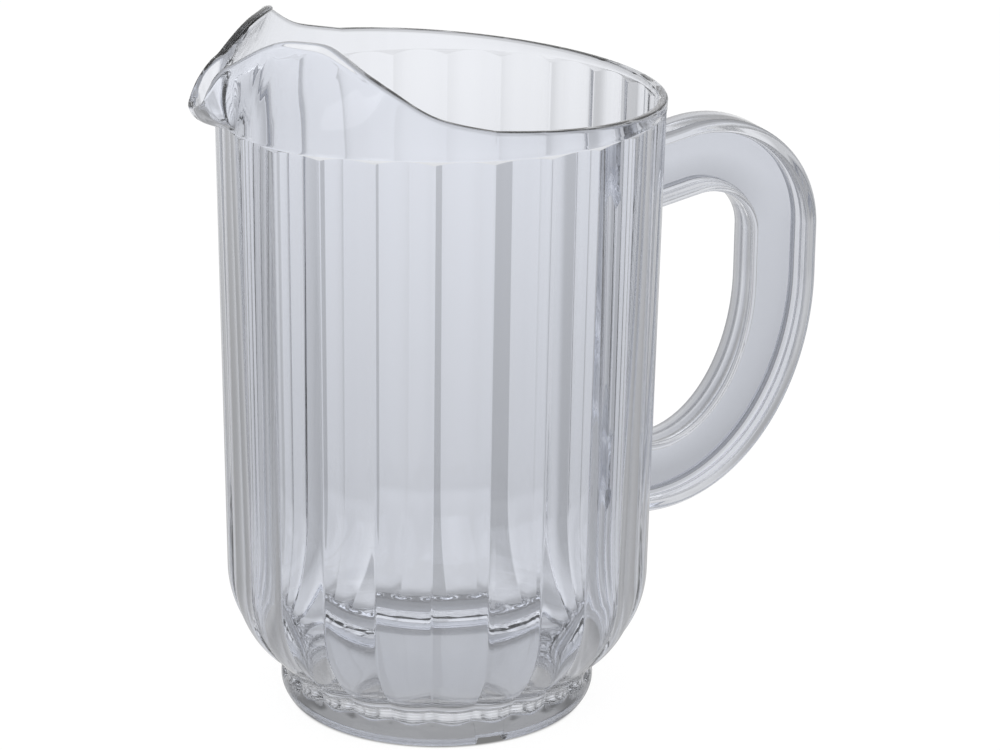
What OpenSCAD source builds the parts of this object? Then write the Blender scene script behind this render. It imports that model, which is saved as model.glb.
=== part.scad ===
// Clear lobed beer pitcher: a tapered barrel of 24 upright convex lobes, a raised pouring
// spout opposite a C-shaped handle, and a foot ring with a hollow under the floor.
// The axis is Z, the handle points along +X, the spout along -X, and the foot
// stands on Z = 0. All sizes are in millimetres.

/* [Barrel] */
// Radius over the lobes at their top
body_r = 64.9; // [58:0.1:75]
// Height of the top of the lobes above the table
lobe_top_z = 180; // [172:1:220]
// Draft of the outside, in degrees from vertical
draft = 0.95; // [0.3:0.05:1.2]
// Draft of the inside, in degrees from vertical
inner_draft = 1.55; // [1.2:0.05:1.8]
// Wall thickness at the rim
wall = 2.8; // [2.5:0.1:3.4]
// Number of lobes round the barrel
lobes = 24; // [22:2:28]
// Rise of each lobe above the straight line between the two valleys beside it
lobe_rise = 1.8; // [1.4:0.05:2]
// Height of the sloped end of each valley, under the plain band
valley_slope = 2; // [1.5:0.1:4]
// Height of the rim above the lobe tops, measured on the axis
rim_rise = 9.4; // [7:0.1:14]
// Fall of the rim towards the handle, in degrees
rim_fall = 4.2; // [1:0.1:5]

/* [Shoulder and foot] */
// Radius of the round shoulder under the barrel
shoulder_r = 35.4; // [33:0.1:37]
// Height of the centre of the shoulder's round
shoulder_z = 42.5; // [41:0.5:45]
// Height of the neck, where the shoulder meets the foot
neck_h = 13; // [12:0.1:14.5]
// Height of the hollow under the floor
hollow_h = 6.2; // [5:0.1:7.5]
// Thickness of the floor
floor_t = 3.5; // [3:0.1:4.5]
// Radius of the round inside the shoulder
bowl_r = 33; // [31:0.5:34]
// How far the foot's bottom edge stands in from the neck
foot_in = 2.8; // [1.5:0.1:3.5]
// Height of the foot's rounded lower edge
foot_edge = 6; // [3:0.1:8]
// Width of the foot's flat face on the table
foot_face = 2.8; // [2:0.1:3.5]
// Thickening of the foot from its face up to the floor
foot_thicken = 0.8; // [0.5:0.1:1.2]
// Width of the drain notch in the foot
notch_w = 9; // [4:0.5:16]
// Height of the drain notch
notch_h = 2.4; // [1:0.1:3]

/* [Spout] */
// Angle from the handle where the raised spout starts on each side
spout_start = 97.5; // [95:0.5:105]
// Height of the spout's seam above the lobe tops
seam_lift = 0.6; // [0.4:0.1:2]
// Height of the spout's two horns above the lobe tops
horn_rise = 27.8; // [22:0.1:32]
// How far the horns lean in from the barrel
horn_lean = 13.7; // [7:0.1:15]
// Reach of the lip's tip beyond the barrel
lip_reach = 10.3; // [7:0.1:14]
// Height of the lip's tip above the lobe tops
lip_rise = 7.6; // [6:0.1:10]
// Wall thickness along the spout's edge
lip_t = 2.6; // [1.8:0.1:2.9]

/* [Handle] */
// Width of the handle
handle_w = 13.5; // [10:0.1:14.5]
// Depth of the handle's section, from its inner edge to its outer edge
handle_d = 21.9; // [19:0.1:23]
// Reach of the handle's outer edge beyond the barrel's lobes
handle_reach = 54.2; // [50:0.1:62]
// Height of the centre of the handle's upper corner
corner_z = 135; // [132:0.5:138]
// Inner radius of the upper corner
corner_r = 14; // [11:0.5:16]
// Upward tilt of the upper arm, in degrees
arm_tilt = 13.5; // [8:0.5:16]
// Height where the sweep of the lower arm starts
sweep_z = 120; // [114:0.5:126]
// Height of the lower arm's outer edge at the barrel
lower_z = 50; // [48:0.5:53]
// Length of the straight end of the lower arm, beyond the lobes
lower_run = 1.4; // [1:0.1:4]
// Depth of the outer rail
outer_rail = 3.9; // [3:0.1:6]
// Depth of the inner rail
inner_rail = 2.3; // [2:0.1:4]
// Thickness of the web between the rails
web_t = 5.5; // [3:0.1:8]

/* [Hidden] */
$fn = 96;
clear_colour = [0.86, 0.89, 0.92, 0.55];
taper = tan(draft);
// spare length of a cutting shape past the face that it cuts
over = 4;

// The lobes: upright rounds of radius lobe_r, which meet in valleys lobe_depth deep
half_lobe = 180 / lobes;
valley_r = (body_r - lobe_rise) / cos(half_lobe);
lobe_depth = body_r - valley_r;
half_chord = valley_r * sin(half_lobe);
lobe_r = (pow(half_chord, 2) + pow(lobe_rise, 2)) / (2 * lobe_rise);
function body_at(z) = body_r - taper * (lobe_top_z - z);
// the plain band is level with the lobes, apart from a trace that closes the join
function band_at(z) = body_at(z) + 0.08;
rim_z = lobe_top_z + rim_rise;
function inner_at(z) = band_at(rim_z) - wall - tan(inner_draft) * (rim_z - z);

// The shoulder: a round tangent to the tapered lobes, with the lobes carried round it
shoulder_c = body_at(shoulder_z) - shoulder_r / cos(draft);
// a lobe's skin at height z, at a distance y to the side of the lobe's middle
function lobe_x(z, y) =
    let (rr = shoulder_r - lobe_r + sqrt(pow(lobe_r, 2) - y * y))
    z > shoulder_z - rr * sin(draft)
        ? shoulder_c + rr / cos(draft) + taper * (z - shoulder_z)
        : shoulder_c + sqrt(rr * rr - pow(z - shoulder_z, 2));
// half of a lobe's width at height z, where two lobes meet in a valley
function half_width(z) =
    let (t = tan(half_lobe), a = t * lobe_x(z, t * lobe_x(z, 0)), b = t * lobe_x(z, a))
    t * lobe_x(z, b);
// a point of the skin: share u runs from one valley (-1) to the next (1)
function skin_point(z, u) = let (y = u * half_width(z)) [lobe_x(z, y), y, z];
function turned(p, a) = [p[0] * cos(a) - p[1] * sin(a), p[0] * sin(a) + p[1] * cos(a), p[2]];
lobe_steps = 8;
lobe_shares = [for (k = [0:lobe_steps - 1]) -1 + 2 * k / lobe_steps];
skin_count = lobes * lobe_steps;
shoulder_steps = 10;
neck_angle = asin((shoulder_z - neck_h) / shoulder_r);
skin_z = concat([neck_h], [for (i = [1:shoulder_steps])
    shoulder_z - shoulder_r * sin(neck_angle + (draft - neck_angle) * i / shoulder_steps)],
    [lobe_top_z + 0.5]);

// The foot under the neck, and the bowl inside the shoulder
neck_r = lobe_x(neck_h, 0);
foot_r = neck_r - foot_in;
floor_r = foot_r - foot_face - foot_thicken;
floor_top = hollow_h + floor_t;
bowl_z = floor_top + bowl_r;
bowl_c = inner_at(bowl_z) - bowl_r / cos(inner_draft);
bowl_steps = 16;
function bowl_point(a) = [bowl_c + bowl_r * cos(a), bowl_z - bowl_r * sin(a)];

// The spout's seam, and the height of the rim where the spout starts
seam_z = lobe_top_z + seam_lift;
rim_tan = tan(rim_fall);
start_rise = rim_rise - rim_tan * band_at(rim_z) * cos(spout_start);

// Half of the spout's edge, from its start to the tip of the lip.
// Each row: angle from the handle, offset from the barrel, height above the lobe tops.
half_edge = [
    [spout_start, 0, start_rise],
    [112, -horn_lean * 0.03, horn_rise * 0.5],
    [124, -horn_lean * 0.15, horn_rise * 0.74],
    [134, -horn_lean * 0.55, horn_rise * 0.86],
    [142, -horn_lean * 0.84, horn_rise * 0.94],
    [150, -horn_lean, horn_rise],
    [158, -horn_lean * 0.9, horn_rise],
    [164, -horn_lean * 0.72, horn_rise * 0.975],
    [168, -horn_lean * 0.5, horn_rise * 0.91],
    [171, -horn_lean * 0.27, horn_rise * 0.825],
    [173.4, -horn_lean * 0.03, horn_rise * 0.727],
    [174.6, lip_reach * 0.25, horn_rise * 0.65],
    [175.1, lip_reach * 0.6, horn_rise * 0.485],
    [176.3, lip_reach * 0.86, lip_rise * 1.15],
    [180, lip_reach, lip_rise]
];
last_row = len(half_edge) - 1;
// the whole edge: the half, then its mirror image back to the other start
edge_rows = concat(half_edge, [for (i = [last_row - 1:-1:0])
    [360 - half_edge[i][0], half_edge[i][1], half_edge[i][2]]]);
edge_last = len(edge_rows) - 1;
edge_steps = 4;
wall_steps = 6;
edge_count = edge_last * edge_steps;

// A smooth curve through rows a, b, c and d, at share t between b and c
function through(a, b, c, d, t) =
    b + 0.5 * t * (c - a + t * (2 * a - 5 * b + 4 * c - d + t * (3 * (b - c) + d - a)));
function row(i) = edge_rows[max(0, min(edge_last, i))];
function edge_row(k) =
    let (i = min(edge_last - 1, floor(k / edge_steps)), t = k / edge_steps - i)
    through(row(i - 1), row(i), row(i + 1), row(i + 2), t);
function polar(r, a, z) = [r * cos(a), r * sin(a), z];
function edge_out(k) =
    let (e = edge_row(k)) polar(band_at(lobe_top_z + e[2]) + e[1], e[0], lobe_top_z + e[2]);
// the inner edge lies lip_t in, square to the outer edge seen from above,
// and meets the barrel's inside at the spout's two ends
function edge_in(k) =
    let (p = edge_out(max(0, k - 1)), q = edge_out(min(edge_count, k + 1)),
         ends = k == 0 || k == edge_count, e = edge_row(k))
    ends ? polar(inner_at(lobe_top_z + e[2]), e[0], lobe_top_z + e[2])
         : edge_out(k) + lip_t * [p[1] - q[1], q[0] - p[0], 0] / norm([q[0] - p[0], q[1] - p[1]]);
// a wall line: drawn from the seam towards a point above or beyond it, then to the edge
bend = 0.45;
// share of the lip at a place along the edge: 1 at the lip's tip, 0 on the horns
function lip_share(k) = max(0, edge_row(k)[1]) / lip_reach;
function spout_point(k, v, inside) =
    let (e = edge_row(k), a = e[0], s = lip_share(k),
         base = polar(inside ? inner_at(seam_z) : band_at(seam_z), a, seam_z),
         edge = inside ? edge_in(k) : edge_out(k),
         push = 0.9 * max(0, e[1]),
         up = [base[0] + push * cos(a), base[1] + push * sin(a),
               seam_z + (bend - 0.3 * s) * (edge[2] - seam_z)])
    (1 - v) * (1 - v) * base + 2 * v * (1 - v) * up + v * v * edge;

// The handle's outlines, each at one depth o from the handle's inner edge
corner_x = body_r + handle_reach - handle_d - corner_r;
sweep_x = body_r + lower_run;
root_x = body_r - 8;
arc_steps = 20;
function handle_line(o) =
    let (rr = corner_r + o, sx = corner_x + rr - sweep_x, sz = sweep_z - lower_z - handle_d + o,
         top = 90 + arm_tilt,
         a = [corner_x + rr * cos(top), corner_z + rr * sin(top)])
    concat(
        [[root_x, a[1] - (a[0] - root_x) * tan(arm_tilt)]],
        [for (i = [0:arc_steps]) let (t = top * (1 - i / arc_steps))
            [corner_x + rr * cos(t), corner_z + rr * sin(t)]],
        [for (i = [0:arc_steps]) let (t = 90 * i / arc_steps)
            [sweep_x + sx * cos(t), sweep_z - sz * sin(t)]],
        [[root_x, sweep_z - sz]]
    );
function backwards(list) = [for (i = [len(list) - 1:-1:0]) list[i]];

// The lobe on the handle's side as a full round bar, which shapes the handle's seat
module seat_bar() {
    translate([shoulder_c, 0, shoulder_z])
        rotate([0, draft, 0])
            translate([shoulder_r - lobe_r, 0, -over])
                cylinder(r = lobe_r, h = lobe_top_z + rim_rise - shoulder_z + 2 * over);
}

// The lobed outside of the barrel, filled, from the neck up into the plain band
module lobed_stock() {
    points = [for (z = skin_z) for (i = [0:lobes - 1]) for (u = lobe_shares)
        turned(skin_point(z, u), 2 * half_lobe * i)];
    last = len(skin_z) - 1;
    function at(j, k) = j * skin_count + k % skin_count;
    sides = [for (j = [0:last - 1]) for (k = [0:skin_count - 1]) each [
        [at(j, k), at(j + 1, k), at(j, k + 1)],
        [at(j, k + 1), at(j + 1, k), at(j + 1, k + 1)]]];
    bottom = [for (k = [0:skin_count - 1]) k];
    top = [for (k = [skin_count - 1:-1:0]) at(last, k)];
    polyhedron(points, concat(sides, [bottom, top]), convexity = 6);
}

// The inside: the floor, the bowl round it and the tapered wall, up past the rim
module cavity() {
    top = rim_z + rim_tan * body_r + 2 * over;
    rotate_extrude()
        polygon(concat(
            [[0, floor_top]],
            [for (i = [0:bowl_steps]) bowl_point(90 + (inner_draft - 90) * i / bowl_steps)],
            [[inner_at(top), top], [0, top]]
        ));
}

module barrel() {
    top = rim_z + rim_tan * body_r + over;
    low = lobe_top_z - valley_slope;
    color(clear_colour)
    difference() {
        union() {
            lobed_stock();
            // the plain band, and the cone under it that ends the valleys
            translate([0, 0, low])
                cylinder(r1 = band_at(low) - lobe_depth - 0.4, r2 = band_at(lobe_top_z), h = valley_slope);
            translate([0, 0, lobe_top_z])
                cylinder(r1 = band_at(lobe_top_z), r2 = band_at(top), h = top - lobe_top_z);
        }
        cavity();
        // everything above the sloping rim
        translate([0, 0, rim_z])
            rotate([0, rim_fall, 0])
                translate([-2 * body_r, -2 * body_r, 0])
                    cube([4 * body_r, 4 * body_r, 2 * rim_rise + 2 * over]);
        // the place of the spout
        rotate([0, 0, spout_start])
            rotate_extrude(angle = 360 - 2 * spout_start)
                translate([body_r / 2, seam_z])
                    square([body_r, 4 * rim_rise]);
    }
}

// A closed skin: the outer wall, the inner wall, the edge, the seam and the two ends
module pouring_spout() {
    ring = wall_steps + 1;
    points = [for (inside = [false, true]) for (k = [0:edge_count]) for (j = [0:wall_steps])
        spout_point(k, j / wall_steps, inside)];
    shift = (edge_count + 1) * ring;
    function at(k, j) = k * ring + j;
    outer = [for (k = [0:edge_count - 1]) for (j = [0:wall_steps - 1]) each [
        [at(k, j), at(k, j + 1), at(k + 1, j)],
        [at(k + 1, j), at(k, j + 1), at(k + 1, j + 1)]]];
    inner = [for (f = outer) [f[0] + shift, f[2] + shift, f[1] + shift]];
    seam = [for (k = [0:edge_count - 1]) each [
        [at(k, 0), at(k + 1, 0), at(k, 0) + shift],
        [at(k + 1, 0), at(k + 1, 0) + shift, at(k, 0) + shift]]];
    edge = [for (k = [0:edge_count - 1]) let (j = wall_steps) each [
        [at(k, j), at(k, j) + shift, at(k + 1, j)],
        [at(k + 1, j), at(k, j) + shift, at(k + 1, j) + shift]]];
    start = [for (j = [0:wall_steps - 1]) let (k = 0) each [
        [at(k, j), at(k, j) + shift, at(k, j + 1)],
        [at(k, j + 1), at(k, j) + shift, at(k, j + 1) + shift]]];
    end = [for (j = [0:wall_steps - 1]) let (k = edge_count) each [
        [at(k, j), at(k, j + 1), at(k, j) + shift],
        [at(k, j + 1), at(k, j + 1) + shift, at(k, j) + shift]]];
    color(clear_colour)
    polyhedron(points, concat(outer, inner, seam, edge, start, end), convexity = 8);
}

module floor_plate() {
    color(clear_colour)
    difference() {
        translate([0, 0, hollow_h])
            cylinder(r = floor_r, h = neck_h - hollow_h);
        cavity();
    }
}

module foot_ring() {
    color(clear_colour)
    difference() {
        rotate_extrude()
            polygon([
                [foot_r - foot_face, 0],
                [foot_r, 0],
                [foot_r + 0.75 * foot_in, 0.45 * foot_edge],
                [neck_r, foot_edge],
                [neck_r, neck_h],
                [floor_r, neck_h],
                [floor_r, hollow_h]
            ]);
        cavity();
        // the drain notch, a quarter turn from the handle
        translate([-notch_w / 2, -body_r, -over])
            cube([notch_w, body_r, notch_h + over]);
    }
}

// A slab of the handle between two depths, ending on the lobe that carries it
module handle_slab(from, to, thick) {
    difference() {
        rotate([90, 0, 0])
            linear_extrude(height = thick, center = true)
                polygon(concat(handle_line(to), backwards(handle_line(from))));
        seat_bar();
    }
}

module handle_web() {
    color(clear_colour)
    handle_slab(inner_rail, handle_d - outer_rail, web_t);
}

module handle_outer_rail() {
    color(clear_colour)
    handle_slab(handle_d - outer_rail, handle_d, handle_w);
}

module handle_inner_rail() {
    color(clear_colour)
    handle_slab(0, inner_rail, handle_w);
}

barrel();
pouring_spout();
floor_plate();
foot_ring();
handle_web();
handle_outer_rail();
handle_inner_rail();
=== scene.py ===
# Clear lobed beer pitcher on a white floor.
# The moulded body is one closed skin and the handle is another, both worked out on grids.
# Lengths in the dictionaries are in millimetres unless a comment says metres, and meshes are
# made in metres.

import math

import bpy
import numpy as np
from mathutils import Matrix, Vector


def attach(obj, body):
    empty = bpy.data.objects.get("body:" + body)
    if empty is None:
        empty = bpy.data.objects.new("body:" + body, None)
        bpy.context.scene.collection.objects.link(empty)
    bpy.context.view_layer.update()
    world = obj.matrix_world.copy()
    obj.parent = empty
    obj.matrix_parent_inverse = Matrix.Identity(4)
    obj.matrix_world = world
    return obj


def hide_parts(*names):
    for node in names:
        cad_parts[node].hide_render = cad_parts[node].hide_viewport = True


mm = 0.001
sharpAngle = math.radians(38)  # edges that turn by more than this stay crisp
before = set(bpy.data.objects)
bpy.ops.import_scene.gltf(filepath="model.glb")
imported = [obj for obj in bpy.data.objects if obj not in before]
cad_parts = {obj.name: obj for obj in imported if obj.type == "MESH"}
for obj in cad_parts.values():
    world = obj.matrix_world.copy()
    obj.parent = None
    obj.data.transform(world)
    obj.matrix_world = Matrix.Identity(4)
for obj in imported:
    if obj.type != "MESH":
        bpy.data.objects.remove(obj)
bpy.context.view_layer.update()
scene = bpy.context.scene
print("frame loaded, nodes:", len(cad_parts))


# Camera

cameraValues = {
    "place": (-383.787, -997.704, 459.739),
    # the picture's own right and up, so that its slight roll is kept
    "right": (0.928631, -0.370810, 0.012056),
    "up": (0.107819, 0.300823, 0.947566),
    "lens": 138.29,
    "sensor": 36.0,
    "clip": (0.05, 50),  # metres
}


def makeCamera(v):
    right, up = Vector(v["right"]), Vector(v["up"])
    turn = Matrix((right, up, right.cross(up))).transposed().to_4x4()
    data = bpy.data.cameras.new("photoCamera")
    data.lens = v["lens"]
    data.sensor_width = v["sensor"]
    data.clip_start, data.clip_end = v["clip"]
    camera = bpy.data.objects.new("photoCamera", data)
    scene.collection.objects.link(camera)
    camera.matrix_world = Matrix.Translation(Vector(v["place"]) * mm) @ turn
    scene.camera = camera


makeCamera(cameraValues)
print("camera placed")


# Meshes from grids

def gridObject(name, grid, poles=None):
    # rows of the grid run along the skin and its columns go round and close;
    # the two ends are closed by a pole point each, or else by one flat face each
    rows, cols = grid.shape[:2]
    index = np.arange(rows * cols).reshape(rows, cols)
    here, after = index[:-1], index[1:]
    quads = np.stack([here, np.roll(here, -1, 1), np.roll(after, -1, 1), after], -1).reshape(-1, 4)
    points = grid.reshape(-1, 3)
    faces = quads.tolist()
    first, last = index[0], index[-1]
    if poles is None:
        faces += [first[::-1].tolist(), last.tolist()]
    else:
        points = np.concatenate([points, np.array(poles)])
        pole = np.full(cols, rows * cols)
        faces += np.stack([np.roll(first, -1), first, pole], -1).tolist()
        faces += np.stack([last, np.roll(last, -1), pole + 1], -1).tolist()
    # a skin that spans a negative volume is inside out
    p = points[quads]
    volume = np.einsum("ij,ij->i", p[:, 0], np.cross(p[:, 1], p[:, 2])).sum()
    volume += np.einsum("ij,ij->i", p[:, 0], np.cross(p[:, 2], p[:, 3])).sum()
    if volume < 0:
        faces = [face[::-1] for face in faces]
    mesh = bpy.data.meshes.new(name)
    mesh.from_pydata((points * mm).tolist(), [], faces)
    mesh.validate()
    mesh.polygons.foreach_set("use_smooth", np.ones(len(mesh.polygons), bool))
    mesh.set_sharp_from_angle(angle=sharpAngle)
    piece = bpy.data.objects.new(name, mesh)
    scene.collection.objects.link(piece)
    print(name, "faces:", len(mesh.polygons))
    return piece


def polar(r, angle, z):
    # points at a distance r from the axis, at an angle round it from the handle, and at a height z
    r, angle, z = np.broadcast_arrays(r, angle, z)
    return np.stack([r * np.cos(angle), r * np.sin(angle), z], -1)


def ease(t):
    # a smooth step from 0 to 1 that is held beyond both ends
    t = np.clip(t, 0, 1)
    return t * t * (3 - 2 * t)


def curve(start, drawn, end, t):
    # the point at share t of a curve from start to end that is drawn towards a third point
    return (1 - t) ** 2 * start + 2 * t * (1 - t) * drawn + t * t * end


# Pitcher body: barrel, spout, floor and foot

bodyValues = {
    "bodyRadius": 64.9, "lobeTop": 180.0, "draft": 0.95, "innerDraft": 1.55, "wall": 2.8,
    "lobes": 24, "lobeRise": 1.8,
    "valleyRound": 0.02,  # share of half a lobe
    # the plain band stands just proud of the lobes, on a cone that goes deeper than the valleys
    "bandStep": 0.08, "valleySlope": 2.0, "coneMore": 0.4,
    # away from the spout the lobe tops are higher; start and length of the change in degrees
    "crestLift": 2.0, "crestFrom": 20.0, "crestOver": 45.0,
    "rimRise": 9.4, "rimFall": 4.2, "rimRound": 0.9,
    "rimPower": 0.75,  # below 1 the rim's round is fuller than a half circle
    "shoulderRadius": 35.4, "shoulderHeight": 42.5, "neckHeight": 13.0, "neckRound": 3.6,
    "hollowHeight": 6.2, "hollowRound": 0.8, "floorThickness": 3.5, "bowlRadius": 33.0,
    "footIn": 2.8, "footEdge": 6.0, "footFace": 2.8, "footThicken": 0.8, "footRound": 0.4,
    "lobeEnd": 6.5, "lobeFull": 9.0,  # heights between which the lobes die away on the foot
    "notchWidth": 9.0, "notchHeight": 2.4, "notchRadius": 44.0,
    "spoutStart": 97.5, "seamLift": 0.6, "bend": 0.45, "lipBend": 0.15, "lipPush": 0.9,
    "hornRise": 27.8, "hornLean": 13.7, "lipReach": 10.3, "lipRise": 7.6,
    # thickness at the spout; start and length of the change to the wall's thickness in degrees
    "lipThickness": 2.6, "wallFrom": 60.0, "wallOver": 22.5,
    # mesh columns: points on the spout's edge, every so many of them that are used near the lip,
    # and degrees to each side of the lip, of a notch's side and between two columns
    "edgePoints": 4001, "lipEvery": 20, "lipSpread": 15.0, "notchStep": 0.05, "leastStep": 0.03,
}

body = bodyValues
halfLobe = math.pi / body["lobes"]
draft, innerDraft = math.radians(body["draft"]), math.radians(body["innerDraft"])
taper, innerTaper = math.tan(draft), math.tan(innerDraft)
cosDraft, sinDraft = math.cos(draft), math.sin(draft)
valleyRadius = (body["bodyRadius"] - body["lobeRise"]) / math.cos(halfLobe)
lobeDepth = body["bodyRadius"] - valleyRadius
halfChord = valleyRadius * math.sin(halfLobe)
lobeRadius = (halfChord ** 2 + body["lobeRise"] ** 2) / (2 * body["lobeRise"])
rimHeight = body["lobeTop"] + body["rimRise"]
rimTan = math.tan(math.radians(body["rimFall"]))
notchHalf = math.degrees(body["notchWidth"] / 2 / body["notchRadius"])


def bodyAt(z):
    # radius over the lobes: the radius at their tops less the taper times the depth below them
    return body["bodyRadius"] - taper * (body["lobeTop"] - z)


def bandAt(z):
    # radius of the plain band: a small step more than over the lobes
    return bodyAt(z) + body["bandStep"]


def innerAt(z):
    # radius inside: one wall less than the band at the rim, less the inside's own taper below it
    return bandAt(rimHeight) - body["wall"] - innerTaper * (rimHeight - z)


def plainRise(angle):
    # height of the plain rim above the lobe tops: a level that falls evenly towards the handle
    return body["rimRise"] - rimTan * bandAt(rimHeight) * np.cos(angle)


shoulderCentre = bodyAt(body["shoulderHeight"]) - body["shoulderRadius"] / cosDraft


def lobeX(z, y):
    # a lobe's skin: the tapered wall or the shoulder's round, let in by the lobe's own round
    # at a distance y to the side of its middle
    fall = lobeRadius - np.sqrt(lobeRadius ** 2 - np.minimum(y * y, lobeRadius ** 2))
    rr = body["shoulderRadius"] - fall
    above = z - body["shoulderHeight"]
    straight = shoulderCentre + rr / cosDraft + taper * above
    inRound = shoulderCentre + np.sqrt(np.maximum(rr * rr - above ** 2, 0))
    return np.where(above > -rr * sinDraft, straight, inRound)


def lobedAt(z, slant):
    # distance from the axis where a ray at this slant from the lobe's middle meets the lobe
    y = slant * lobeX(z, 0.0)
    for _ in range(4):
        y = slant * lobeX(z, y)
    return lobeX(z, y) * np.sqrt(1 + slant * slant)


def spoutEdge(v):
    # half of the spout's edge from its start to the lip's tip: angle from the handle,
    # offset from the barrel, height above the lobe tops
    start = float(plainRise(math.radians(v["spoutStart"])))
    rise, lean, reach, lip = v["hornRise"], v["hornLean"], v["lipReach"], v["lipRise"]
    half = np.array([
        [v["spoutStart"], 0, start],
        [112, -lean * 0.03, rise * 0.5],
        [124, -lean * 0.15, rise * 0.74],
        [134, -lean * 0.55, rise * 0.86],
        [142, -lean * 0.84, rise * 0.94],
        [150, -lean, rise],
        [158, -lean * 0.9, rise],
        [164, -lean * 0.72, rise * 0.975],
        [168, -lean * 0.5, rise * 0.91],
        [171, -lean * 0.27, rise * 0.825],
        [173.4, -lean * 0.03, rise * 0.727],
        [174.6, reach * 0.25, rise * 0.65],
        [175.1, reach * 0.6, rise * 0.485],
        [176.3, reach * 0.86, lip * 1.15],
        [180, reach, lip],
    ])
    back = half[-2::-1].copy()
    back[:, 0] = 360 - back[:, 0]
    rows = np.concatenate([half, back])
    # a smooth curve through the rows: each stretch is a cubic set by its two rows
    # and their neighbours
    k = np.linspace(0, len(rows) - 1, v["edgePoints"])
    i = np.minimum(k.astype(int), len(rows) - 2)
    t = (k - i)[:, None]
    p, q, r, s = [rows[np.clip(i + d, 0, len(rows) - 1)] for d in (-1, 0, 1, 2)]
    return q + 0.5 * t * (r - p + t * (2 * p - 5 * q + 4 * r - s + t * (3 * (q - r) + s - p)))


def bodyColumns(v, edge):
    # closer together at the valleys, the lip and the sides of the drain notch
    lobe = 360 / v["lobes"]
    half = np.array([0, 0.17, 0.34, 0.5, 0.65, 0.78, 0.88, 0.945, 0.98])  # shares of half a lobe
    share = np.concatenate([[-1], -half[:0:-1], half])
    even = (np.arange(v["lobes"])[:, None] * lobe + share * lobe / 2).ravel()
    lip = edge[::v["lipEvery"], 0]
    lip = lip[np.abs(lip - 180) < v["lipSpread"]]
    notch = notchHalf + np.array([-v["notchStep"], v["notchStep"]])
    columns = np.sort(np.concatenate([even, lip, 270 + notch, 270 - notch]) % 360)
    return columns[np.diff(columns, append=columns[0] + 360) > v["leastStep"]]


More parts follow.
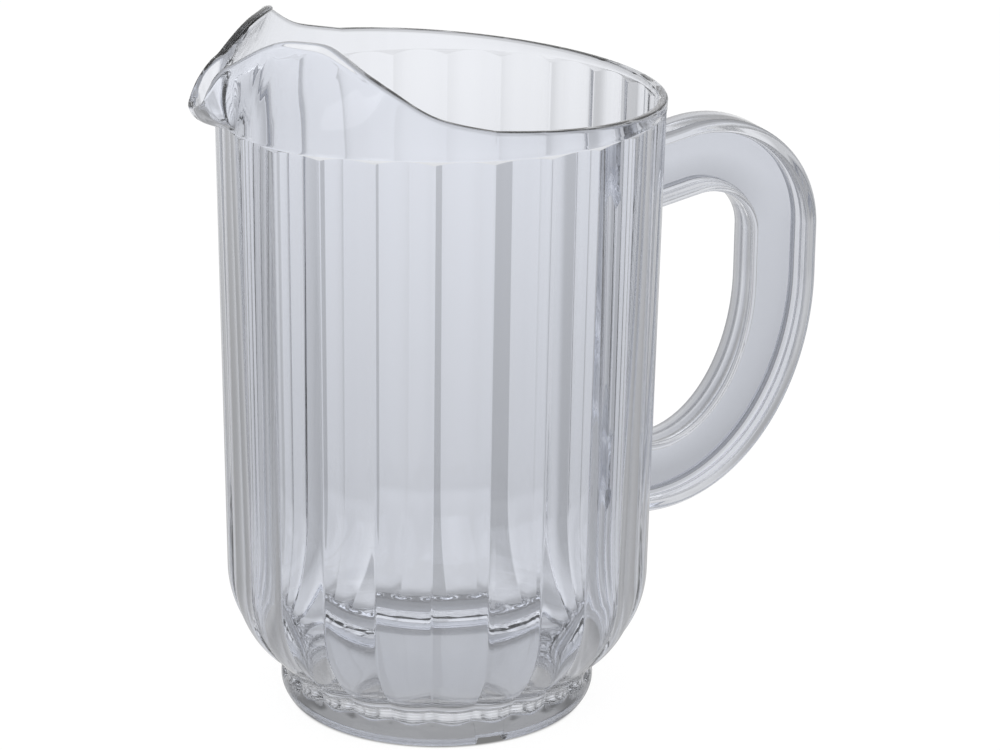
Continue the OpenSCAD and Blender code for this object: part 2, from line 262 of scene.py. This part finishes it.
def bodyGrid(v):
    # a profile carried round the axis: from the middle of the underside over the foot, the lobes
    # and the rim, and down the inside to the middle of the floor; the radius and height of each
    # row depend on the angle
    edge = spoutEdge(v)
    degrees = bodyColumns(v, edge)
    angle = np.radians(degrees)
    fromSpout = np.abs(degrees - 180)
    lobe = 360 / v["lobes"]
    share = np.abs((degrees + lobe / 2) % lobe - lobe / 2) / (lobe / 2)
    share = np.clip(1 - np.sqrt((1 - share) ** 2 + v["valleyRound"] ** 2), 0, 1)
    slant = np.tan(share * halfLobe)
    top, neck = v["lobeTop"], v["neckHeight"]
    neckRadius = float(lobeX(neck, 0.0))
    foot = neckRadius - v["footIn"]
    floorRadius = foot - v["footFace"] - v["footThicken"]
    floorTop = v["hollowHeight"] + v["floorThickness"]
    inNotch = np.abs(((degrees - 270 + 180) % 360) - 180) < notchHalf
    low = np.where(inNotch, v["notchHeight"], 0.0)
    # the shares and angles that the loops run over only place the rows of the mesh
    rows = []

    def add(r, z):
        rows.append(polar(r, angle, z))

    # underside of the floor, and the foot's inner wall
    hr, hz = v["hollowRound"], v["hollowHeight"]
    for r in np.linspace(4, floorRadius - hr - 0.5, 7):
        add(r, hz)
    for a in np.radians([80, 50, 20, 0]):
        add(floorRadius - hr + hr * math.cos(a), hz - hr + hr * math.sin(a))
    rd = v["footRound"]
    inside = foot - v["footFace"]
    for t in (0.3, 0.65, 1):
        add(floorRadius + t * (inside - floorRadius), (hz - hr) * (1 - t) + t * (low + rd))
    for a in np.radians([30, 60, 90]):
        add(inside + rd * (1 - math.cos(a)), low + rd * (1 - math.sin(a)))
    # the face on the table, and the foot's side, which swells in a round up to the neck's radius
    for a in np.radians([90, 60, 30, 0]):
        add(foot - rd * (1 - math.cos(a)), low + rd * (1 - math.sin(a)))
    neckDip = neckRadius - lobedAt(neck, slant)

    def footSide(z):
        swell = neckRadius - v["footIn"] * np.clip(1 - z / v["footEdge"], 0, 1) ** 2
        return swell - neckDip * ease((z - v["lobeEnd"]) / (v["lobeFull"] - v["lobeEnd"]))

    for t in (0.07, 0.16, 0.27, 0.4, 0.55, 0.72, 0.86, 1):
        z = low + rd + t * (v["footEdge"] + 0.5 - low - rd)
        add(footSide(z), z)
    nr = v["neckRound"]
    for z in np.linspace(v["footEdge"] + 1.2, neck - nr, 10):
        add(footSide(z), z)
    # the neck: a hollow round between the foot's side and the shoulder
    start, corner = footSide(neck - nr), neckRadius - neckDip
    end = lobedAt(neck + nr, slant)
    for t in np.linspace(0, 1, 8)[1:-1]:
        add(curve(start, corner, end, t), neck + nr * (2 * t - 1))
    # the lobed shoulder and barrel
    shoulder = v["shoulderHeight"]
    turnLow = math.asin((shoulder - neck - nr) / v["shoulderRadius"])
    for a in np.linspace(turnLow, draft, 26):
        z = shoulder - v["shoulderRadius"] * math.sin(a)
        add(lobedAt(z, slant), z)
    # the valleys end where the cone under the plain band comes out of the lobes,
    # which is a little higher away from the spout
    crest = top + v["crestLift"] * ease((fromSpout - v["crestFrom"]) / v["crestOver"])
    dip = bodyAt(crest) - lobedAt(crest, slant)
    cusp = crest - v["valleySlope"] * (dip + v["bandStep"]) / (lobeDepth + v["coneMore"])
    for t in np.linspace(0.03, 1, 12):
        z = shoulder + t * (cusp - 3 - shoulder)
        add(lobedAt(z, slant), z)
    for drop in (1.2, 0.4, 0.1, 0):
        add(lobedAt(cusp - drop, slant), cusp - drop)
    fromR, toR = lobedAt(cusp, slant), bandAt(crest)
    for t in (0.06, 0.35, 0.7, 0.95):
        add(fromR + t * (toR - fromR), cusp + t * (crest - cusp))
    add(bandAt(crest), crest + 0.05)
    add(bandAt(crest + 0.3), crest + 0.3)
    # the wall up to the edge: a curve from the seam to the edge,
    # drawn towards a point above the seam or beyond it
    inSpout = (degrees > v["spoutStart"]) & (degrees < 360 - v["spoutStart"])
    offset = np.where(inSpout, np.interp(degrees, edge[:, 0], edge[:, 1]), 0)
    rise = np.where(inSpout, np.interp(degrees, edge[:, 0], edge[:, 2]), plainRise(angle))
    outer = polar(bandAt(top + rise) + offset, angle, top + rise)
    along = np.roll(outer, -1, 0) - np.roll(outer, 1, 0)
    inward = np.stack([-along[:, 1], along[:, 0], np.zeros(len(angle))], -1)
    inward /= np.linalg.norm(inward, axis=1)[:, None]
    blend = np.clip((fromSpout - v["wallFrom"]) / v["wallOver"], 0, 1)
    inner = outer + inward * (v["lipThickness"] * (1 - blend) + v["wall"] * blend)[:, None]
    drop = np.array([0, 0, v["rimRound"]])
    seam = crest + v["seamLift"]
    outwards = np.maximum(offset, 0)
    push = outwards * v["lipPush"]
    bend = v["bend"] + (v["lipBend"] - v["bend"]) * outwards / v["lipReach"]

    def wallRow(base, end, t):
        up = polar(base + push, angle, seam + bend * (end[:, 2] - seam))
        return curve(polar(base, angle, seam), up, end, t)

    steps = np.linspace(0, 1, 18)
    rows.extend(wallRow(bandAt(seam), outer - drop, t) for t in steps)
    middle, half = (outer + inner) / 2 - drop, (outer - inner) / 2
    for a in np.radians([20, 40, 60, 75, 90, 105, 120, 140, 160]):
        across = math.copysign(abs(math.cos(a)) ** v["rimPower"], math.cos(a))
        rows.append(middle + half * across + drop * math.sin(a) ** v["rimPower"])
    rows.extend(wallRow(innerAt(seam), inner - drop, t) for t in steps[::-1])
    # the smooth inside, the bowl and the floor
    bowl = v["bowlRadius"]
    bowlZ = floorTop + bowl
    bowlCentre = innerAt(bowlZ) - bowl / math.cos(innerDraft)
    for t in np.linspace(0.02, 0.97, 10):
        z = seam + t * (bowlZ - seam)
        add(innerAt(z), z)
    for a in np.linspace(innerDraft, math.pi / 2, 30):
        add(bowlCentre + bowl * math.cos(a), bowlZ - bowl * math.sin(a))
    for r in np.linspace(bowlCentre - 3, 3, 6):
        add(r, floorTop)
    return np.stack(rows), [(0, 0, hz), (0, 0, floorTop)]


pitcherBody = gridObject("pitcherBody", *bodyGrid(bodyValues))


# Handle: an H-shaped section carried along the C

handleValues = {
    "width": 13.5, "depth": 21.9, "reach": 54.2, "cornerHeight": 135.0, "cornerRadius": 14.0,
    "armTilt": 13.5, "sweepHeight": 120.0, "lowerHeight": 50.0, "lowerRun": 1.4,
    "outerRail": 3.9, "innerRail": 2.3, "web": 5.5,
    "outerRound": 2.0, "innerRound": 1.1, "edgeRound": 1.0, "pocketRound": 0.7,
    "sink": 0.1,  # how far the ends go into the lobe
    "roundSteps": 8,
}


def roundedOutline(corners, rounds, steps):
    # each corner becomes a quarter round that starts and ends one radius from the corner
    p = np.array(corners, float)
    before, after = np.roll(p, 1, 0) - p, np.roll(p, -1, 0) - p
    before /= np.linalg.norm(before, axis=1)[:, None]
    after /= np.linalg.norm(after, axis=1)[:, None]
    r = np.array(rounds)[:, None]
    a = np.linspace(0, math.pi / 2, steps)[None, :, None]
    centre = p + (before + after) * r
    arc = centre[:, None] - (after * r)[:, None] * np.cos(a) - (before * r)[:, None] * np.sin(a)
    return arc.reshape(-1, 2)


def handleGrid(v):
    # the section carried along a straight arm, a round corner, a short upright stretch
    # and a quarter of an ellipse back to the barrel
    half, web = v["width"] / 2, v["web"] / 2
    inRail, outRail, d = v["innerRail"], v["depth"] - v["outerRail"], v["depth"]
    # the section: o goes outwards from the finger opening and y across the handle
    corners = [(0, -half), (inRail, -half), (inRail, -web),
               (outRail, -web), (outRail, -half), (d, -half),
               (d, half), (outRail, half), (outRail, web),
               (inRail, web), (inRail, half), (0, half)]
    side = [v["innerRound"], v["edgeRound"], v["pocketRound"],
            v["pocketRound"], v["edgeRound"], v["outerRound"]]
    o, y = roundedOutline(corners, side + side[::-1], v["roundSteps"]).T
    tilt = math.radians(v["armTilt"])
    cornerX = body["bodyRadius"] + v["reach"] - d - v["cornerRadius"]
    cornerZ, sweepZ = v["cornerHeight"], v["sweepHeight"]
    sweepX = body["bodyRadius"] + v["lowerRun"]
    rr = v["cornerRadius"] + o
    armX = cornerX + rr * math.cos(math.pi / 2 + tilt)
    armZ = cornerZ + rr * math.sin(math.pi / 2 + tilt)
    # the upper arm starts on the lobe that carries it
    rootX = np.full_like(o, body["bodyRadius"])
    for _ in range(5):
        rootX = lobeX(armZ - (armX - rootX) * math.tan(tilt), y)
    rootX = rootX - v["sink"]
    rootZ = armZ - (armX - rootX) * math.tan(tilt)
    rows = []

    def add(x, z):
        rows.append(np.stack(np.broadcast_arrays(x, y, z), -1))

    for t in np.linspace(0, 1, 6)[:-1]:
        add(rootX + t * (armX - rootX), rootZ + t * (armZ - rootZ))
    for a in np.linspace(math.pi / 2 + tilt, 0, 40):
        add(cornerX + rr * math.cos(a), cornerZ + rr * math.sin(a))
    for t in (0.33, 0.67):
        add(cornerX + rr, cornerZ + t * (sweepZ - cornerZ))
    wide = cornerX + rr - sweepX
    tall = sweepZ - v["lowerHeight"] - d + o
    for a in np.linspace(0, math.pi / 2, 52):
        add(sweepX + wide * math.cos(a), sweepZ - tall * math.sin(a))
    endZ = sweepZ - tall
    endX = lobeX(endZ, y) - v["sink"]
    for t in (0.5, 1):
        add(sweepX + t * (endX - sweepX), endZ)
    return np.stack(rows)


pitcherHandle = gridObject("pitcherHandle", handleGrid(handleValues))


# Shader maths

def grey(level):
    return (level, level, level, 1)


class Wire:
    # one socket of a node tree: the operators add Math nodes, and make adds any other node
    def __init__(self, tree, socket=None):
        self.tree, self.socket = tree, socket

    def make(self, kind, settings=None, inputs=None, output=0):
        made = self.tree.nodes.new(kind)
        for key, value in (settings or {}).items():
            if key == "stops":
                ramp = made.color_ramp
                while len(ramp.elements) < len(value):
                    ramp.elements.new(0.5)
                for element, (place, level) in zip(ramp.elements, value):
                    element.position, element.color = place, grey(level)
            else:
                setattr(made, key, value)
        for key, value in (inputs or {}).items():
            if isinstance(value, Wire):
                self.tree.links.new(value.socket, made.inputs[key])
            else:
                made.inputs[key].default_value = value
        return Wire(self.tree, made.outputs[output]) if made.outputs else made

    def maths(self, operation, first, second=0.0):
        return self.make("ShaderNodeMath", {"operation": operation}, {0: first, 1: second})

    def span(self, start, end, low=0.0, high=1.0, kind="LINEAR"):
        # goes from low at start to high at end, and is held beyond both
        return self.make("ShaderNodeMapRange", {"interpolation_type": kind}, {
            "Value": self, "From Min": start, "From Max": end, "To Min": low, "To Max": high})

    def axes(self):
        return [self.make("ShaderNodeSeparateXYZ", {}, {0: self}, output=i) for i in range(3)]

    def mixed(self, share, first, second):
        return self.make("ShaderNodeMix", {"data_type": "RGBA"},
                         {"Factor": share, 6: first, 7: second}, output=2)

    def __add__(self, other):
        return self.maths("ADD", self, other)

    def __sub__(self, other):
        return self.maths("SUBTRACT", self, other)

    def __rsub__(self, other):
        return self.maths("SUBTRACT", other, self)

    def __mul__(self, other):
        return self.maths("MULTIPLY", self, other)

    __radd__ = __add__
    __rmul__ = __mul__


def emptyTree(owner):
    owner.use_nodes = True
    owner.node_tree.nodes.clear()
    return Wire(owner.node_tree)


# Clear plastic

plasticValues = {
    "ior": 1.585, "roughness": 0.004, "haze": 0.008,
    "flowScale": 24.0, "flowDetail": 2.0, "hazeScale": 90.0, "hazeDetail": 4.0,
    "bumpDistance": 2.0,
}
bodyPlastic = {
    **plasticValues,
    "tint": (0.930, 0.946, 0.985), "deepTint": (0.915, 0.932, 0.978), "waviness": 0.006,
    # the outside of the neck is a little hazy: a band of heights, away from the axis
    "neckHaze": 0.13, "neckLow": (8.5, 10.5), "neckHigh": (17.5, 15.5), "neckReach": (44.3, 45.3),
    # painted shade: the foot's side is painted greyer, standing in for the shaded table under the
    # pitcher
    "footPaintedShade": (0.50, 0.512, 0.545), "footHigh": (10.0, 8.5), "footReach": (42.0, 43.0),
}
handlePlastic = {
    **plasticValues,
    "tint": (0.850, 0.865, 0.905), "deepTint": (0.830, 0.848, 0.892), "waviness": 0.004,
    # painted shade: the web between the rails is painted greyer than the rails, as shade in the
    # recess between them; the mask takes faces close to the middle plane
    "webPaintedShade": (0.675, 0.698, 0.762), "webSide": (3.6, 3.2),
}


def clearPlastic(name, v):
    material = bpy.data.materials.new(name)
    tree = emptyTree(material)
    place = tree.make("ShaderNodeTexCoord", output="Object")
    x, y, z = place.axes()

    def within(value, key):
        return value.span(v[key][0] * mm, v[key][1] * mm)

    def noise(kind):
        return tree.make("ShaderNodeTexNoise", {}, {
            "Vector": place, "Scale": v[kind + "Scale"], "Detail": v[kind + "Detail"]})

    flow = noise("flow")
    rough = noise("haze") * v["haze"] + v["roughness"]
    colour = tree.mixed(flow, (*v["tint"], 1), (*v["deepTint"], 1))
    # painted shade: faces near the handle's middle plane, the web between the rails, are darkened
    # in their colour
    if "webPaintedShade" in v:
        web = within(tree.maths("ABSOLUTE", y), "webSide")
        colour = tree.mixed(web, colour, (*v["webPaintedShade"], 1))
    if "neckHaze" in v:
        reach = tree.maths("SQRT", x * x + y * y)
        neck = within(z, "neckLow") * within(z, "neckHigh") * within(reach, "neckReach")
        rough = neck * v["neckHaze"] + rough
        # painted shade: a band of heights on the foot's side, away from the axis, is darkened in
        # its colour
        footSide = within(z, "footHigh") * within(reach, "footReach")
        colour = tree.mixed(footSide, colour, (*v["footPaintedShade"], 1))
    bump = tree.make("ShaderNodeBump", {}, {
        "Height": flow, "Strength": v["waviness"], "Distance": v["bumpDistance"] * mm})
    shader = tree.make("ShaderNodeBsdfPrincipled", {}, {
        "Base Color": colour, "Roughness": rough, "Normal": bump,
        "IOR": v["ior"], "Transmission Weight": 1.0})
    tree.make("ShaderNodeOutputMaterial", {}, {"Surface": shader})
    return material


pitcherBody.data.materials.append(clearPlastic("bodyPlastic", bodyPlastic))
pitcherHandle.data.materials.append(clearPlastic("handlePlastic", handlePlastic))
for piece in (pitcherBody, pitcherHandle):
    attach(piece, "root")
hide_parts("barrel", "pouring_spout", "floor_plate", "foot_ring")
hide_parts("handle_web", "handle_outer_rail", "handle_inner_rail")
print("plastic applied")


# Floor, studio and lamps

studioValues = {
    "floorColour": (0.9, 0.9, 0.91), "floorSize": 6.0,  # metres
    "floorDrop": 0.4, "shadowShare": 0.12, "floorGlow": 1.06,
    # the patch of floor under the foot, darkest where the foot rests
    "shade": 0.46, "footShade": 0.2, "shadeFrom": 33.0, "footShadeRadius": 38.0,
    "shadeRadius": 44.5, "innerShadeRadius": 46.0, "shadeSoft": 2.0,
    "ahead": 68.0,  # the way the camera looks, in degrees round the axis
    # brightness of the studio round the pitcher: degrees to the left of the way ahead, and level
    "panels": [
        (-180, 0.74), (-158, 0.7), (-135, 0.45), (-112, 0.5), (-90, 0.36), (-60, 0.4),
        (-42, 0.6), (-36, 0.53), (-28, 0.57), (-23, 0.84), (-20, 0.58), (-13, 0.58),
        (-9, 0.82), (-4, 0.87), (15, 0.87), (18, 0.79), (21, 0.58), (27, 0.74),
        (38, 0.52), (52, 0.44), (62, 0.62), (84, 0.34), (112, 0.56), (135, 0.42),
        (160, 0.7), (180, 0.74),
    ],
    # the panels are dimmer towards the floor and above the horizon; a span is a range of the
    # upward share of a direction
    "lowGrade": 0.78, "highGrade": 1.08, "gradeSpan": (-0.36, -0.25),
    "levelDip": 0.1, "dipSpan": (-0.02, 0.06),
    "overhead": 0.78, "overheadSpan": (0.3, 0.75),
    "underneath": 0.4, "underneathSpan": (-0.6, -0.85),
    "dome": 0.75,  # light on the floor from all round
    # name, place, size and power of each lamp, in metres and watts
    "lamps": [
        ("leftBox", (-0.9, -0.5, 0.9), (1.4, 1.4), 5),
        ("rightBox", (1.0, -0.6, 0.7), (1.2, 1.4), 4),
    ],
    "lampTarget": (0, 0, 0.1),
}


def studioPattern(tree, v, place):
    # panels of light that stand round the pitcher, between an even ceiling and a dim floor
    x, y, z = place.axes()
    ahead = math.radians(v["ahead"])
    # turn about the axis from the way ahead, as a share of a full turn
    # with the way ahead at one half
    along = x * math.cos(ahead) + y * math.sin(ahead)
    across = y * math.cos(ahead) - x * math.sin(ahead)
    turn = tree.maths("ARCTAN2", across, along) * (0.5 / math.pi) + 0.5
    stops = [((degrees + 180) / 360, level) for degrees, level in v["panels"]]
    panels = tree.make("ShaderNodeValToRGB", {"stops": stops}, {0: turn})
    grade = z.span(*v["gradeSpan"], v["lowGrade"], v["highGrade"])
    grade = grade - z.span(*v["dipSpan"], 0.0, v["levelDip"])
    high = z.span(*v["overheadSpan"], kind="SMOOTHSTEP")
    deep = z.span(*v["underneathSpan"], kind="SMOOTHSTEP")
    level = (1 - high) * panels * grade + high * v["overhead"]
    return (1 - deep) * level + deep * v["underneath"]


def rayKind(tree, kind):
    return tree.make("ShaderNodeLightPath", output=kind)


def seenInPlastic(tree):
    return tree.maths("MAXIMUM", rayKind(tree, "Is Transmission Ray"),
                      rayKind(tree, "Is Glossy Ray"))


def makeFloor(v):
    half, low = v["floorSize"] / 2, -v["floorDrop"] * mm
    mesh = bpy.data.meshes.new("floor")
    corners = [(-half, -half, low), (half, -half, low), (half, half, low), (-half, half, low)]
    mesh.from_pydata(corners, [], [(0, 1, 2, 3)])
    floor = bpy.data.objects.new("floor", mesh)
    scene.collection.objects.link(floor)
    material = bpy.data.materials.new("paleFloor")
    tree = emptyTree(material)

    def mixShader(share, first, second):
        return tree.make("ShaderNodeMixShader", {}, {0: share, 1: first, 2: second})

    # the camera sees a white floor with the pitcher's shadow;
    # seen in the plastic, the floor gives way to the studio
    glow = tree.make("ShaderNodeEmission", {}, {"Color": grey(1), "Strength": v["floorGlow"]})
    matt = tree.make("ShaderNodeBsdfDiffuse", {}, {"Color": (*v["floorColour"], 1)})
    inPlastic = seenInPlastic(tree)
    gone = tree.make("ShaderNodeBsdfTransparent")
    openFloor = mixShader(inPlastic, mixShader(v["shadowShare"], glow, matt), gone)
    # the patch under the foot lies in the shade for every ray, and reaches further out
    # through the plastic
    place = tree.make("ShaderNodeTexCoord", output="Object")
    reach = tree.make("ShaderNodeVectorMath", {"operation": "LENGTH"}, {0: place}, output="Value")
    more = (v["innerShadeRadius"] - v["shadeRadius"]) * mm
    edge = inPlastic * more + v["shadeRadius"] * mm
    patch = reach.span(edge, edge - v["shadeSoft"] * mm, kind="SMOOTHSTEP")
    dark = reach.span(v["shadeFrom"] * mm, v["footShadeRadius"] * mm, kind="SMOOTHSTEP")
    shadeColour = tree.mixed(dark, grey(v["shade"]), grey(v["footShade"]))
    shaded = tree.make("ShaderNodeEmission", {}, {"Color": shadeColour, "Strength": 1.0})
    tree.make("ShaderNodeOutputMaterial", {}, {"Surface": mixShader(patch, openFloor, shaded)})
    mesh.materials.append(material)


def makeWorld(v):
    world = bpy.data.worlds.new("studio")
    scene.world = world
    tree = emptyTree(world)
    pattern = studioPattern(tree, v, tree.make("ShaderNodeTexCoord", output="Generated"))
    inPlastic = seenInPlastic(tree)
    direct = rayKind(tree, "Is Camera Ray")
    strength = inPlastic * pattern + (1 - inPlastic) * (direct * (1 - v["dome"]) + v["dome"])
    light = tree.make("ShaderNodeBackground", {}, {"Color": grey(1), "Strength": strength})
    tree.make("ShaderNodeOutputWorld", {}, {"Surface": light})


def makeLamp(name, place, target, size, power):
    data = bpy.data.lights.new(name, "AREA")
    data.shape = "RECTANGLE"
    data.size, data.size_y = size
    data.energy = power
    lamp = bpy.data.objects.new(name, data)
    scene.collection.objects.link(lamp)
    lamp.location = place
    lamp.visible_glossy = False
    lamp.rotation_mode = "QUATERNION"
    lamp.rotation_quaternion = (Vector(target) - Vector(place)).to_track_quat("-Z", "Y")


makeFloor(studioValues)
makeWorld(studioValues)
for name, place, size, power in studioValues["lamps"]:
    makeLamp(name, place, studioValues["lampTarget"], size, power)
scene.view_settings.view_transform = "Standard"
# light is led a long way round inside the clear wall
scene.cycles.max_bounces = 24
scene.cycles.glossy_bounces = 20
scene.cycles.transmission_bounces = 24
print("studio set")
